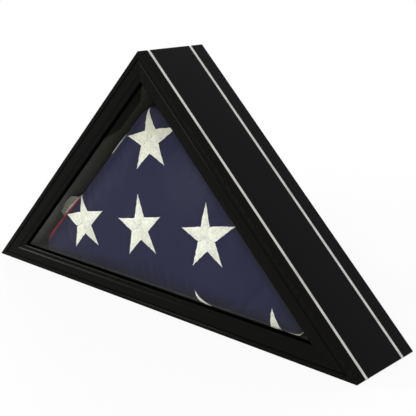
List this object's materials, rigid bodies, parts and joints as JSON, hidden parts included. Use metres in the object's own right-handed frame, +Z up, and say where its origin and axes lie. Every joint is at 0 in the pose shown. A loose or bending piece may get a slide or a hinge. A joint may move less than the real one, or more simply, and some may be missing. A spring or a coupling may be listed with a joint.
{
  "type": "folded flag display case",
  "caption": "Triangular black display case with a moulded, glazed front, silver inlay lines and a removable back, holding a folded flag.",
  "frame": {"origin": "middle of the underside that the case stands on", "axes": "+X to the right seen from the front, +Y to the back, +Z up"},
  "size_m": [0.6962, 0.1238, 0.3496],
  "materials": {
    "black_wood": "satin black lacquer",
    "silver_inlay": "satin silver",
    "glass": "clear float glass",
    "liner_felt": "dark grey felt",
    "back_board": "black-faced hardboard",
    "back_felt": "black felt",
    "flag_cloth": "woven bunting",
    "zinc_steel": "zinc plated",
    "spline_wood": "bare beech"
  },
  "bodies": {
    "case": {"left_board": "black_wood", "right_board": "black_wood", "bottom_board": "black_wood", "front_frame_left": "black_wood", "front_frame_right": "black_wood", "front_frame_bottom": "black_wood", "left_front_inlay": "silver_inlay", "left_rear_inlay": "silver_inlay", "right_front_inlay": "silver_inlay", "right_rear_inlay": "silver_inlay", "glass_pane": "glass", "liner_left": "liner_felt", "liner_right": "liner_felt", "liner_bottom": "liner_felt", "turn_button_screws": "zinc_steel", "hanger_screws": "zinc_steel", "hanger_strap_left": "zinc_steel", "hanger_strap_right": "zinc_steel", "frame_vnails": "zinc_steel", "liner_brads": "zinc_steel", "mitre_splines": "spline_wood"},
    "back": {"back_panel": "back_board", "back_felt": "back_felt"},
    "flag": {"folded_flag": "flag_cloth"},
    "turn_button_bottom_left": {"turn_button_bottom_left": "zinc_steel"},
    "turn_button_bottom_right": {"turn_button_bottom_right": "zinc_steel"},
    "turn_button_right_lower": {"turn_button_right_lower": "zinc_steel"},
    "turn_button_right_upper": {"turn_button_right_upper": "zinc_steel"},
    "turn_button_left_upper": {"turn_button_left_upper": "zinc_steel"},
    "turn_button_left_lower": {"turn_button_left_lower": "zinc_steel"},
    "d_ring_left": {"d_ring_left": "zinc_steel"},
    "d_ring_right": {"d_ring_right": "zinc_steel"}
  },
  "joints": [
    {"name": "back_removal", "type": "slide", "parent": "case", "child": "back", "axis": [0, 1, 0], "range_m": [0, 0.26]},
    {"name": "flag_removal", "type": "slide", "parent": "case", "child": "flag", "axis": [0, 1, 0], "range_m": [0, 0.13]},
    {"name": "turn_button_bottom_left_turn", "type": "hinge", "parent": "case", "child": "turn_button_bottom_left", "pos_m": [-0.15855, 0.0595, 0.009], "axis": [0, -1, 0], "range_deg": [0, 90]},
    {"name": "turn_button_bottom_right_turn", "type": "hinge", "parent": "case", "child": "turn_button_bottom_right", "pos_m": [0.15855, 0.0595, 0.009], "axis": [0, -1, 0], "range_deg": [0, 90]},
    {"name": "turn_button_right_lower_turn", "type": "hinge", "parent": "case", "child": "turn_button_right_lower", "pos_m": [0.26137, 0.0595, 0.07618], "axis": [0, -1, 0], "range_deg": [0, 90]},
    {"name": "turn_button_right_upper_turn", "type": "hinge", "parent": "case", "child": "turn_button_right_upper", "pos_m": [0.05303, 0.0595, 0.28452], "axis": [0, -1, 0], "range_deg": [0, 90]},
    {"name": "turn_button_left_upper_turn", "type": "hinge", "parent": "case", "child": "turn_button_left_upper", "pos_m": [-0.05303, 0.0595, 0.28452], "axis": [0, -1, 0], "range_deg": [0, 90]},
    {"name": "turn_button_left_lower_turn", "type": "hinge", "parent": "case", "child": "turn_button_left_lower", "pos_m": [-0.26137, 0.0595, 0.07618], "axis": [0, -1, 0], "range_deg": [0, 90]},
    {"name": "d_ring_left_swing", "type": "hinge", "parent": "case", "child": "d_ring_left", "pos_m": [-0.14142, 0.0619, 0.19401], "axis": [0.7071, 0, -0.7071], "range_deg": [0, 180]},
    {"name": "d_ring_right_swing", "type": "hinge", "parent": "case", "child": "d_ring_right", "pos_m": [0.14142, 0.0619, 0.19401], "axis": [0.7071, 0, 0.7071], "range_deg": [0, 180]}
  ],
  "couplings": [
    {"joint": "flag_removal", "follows": "back_removal", "ratio": 0.5}
  ]
}
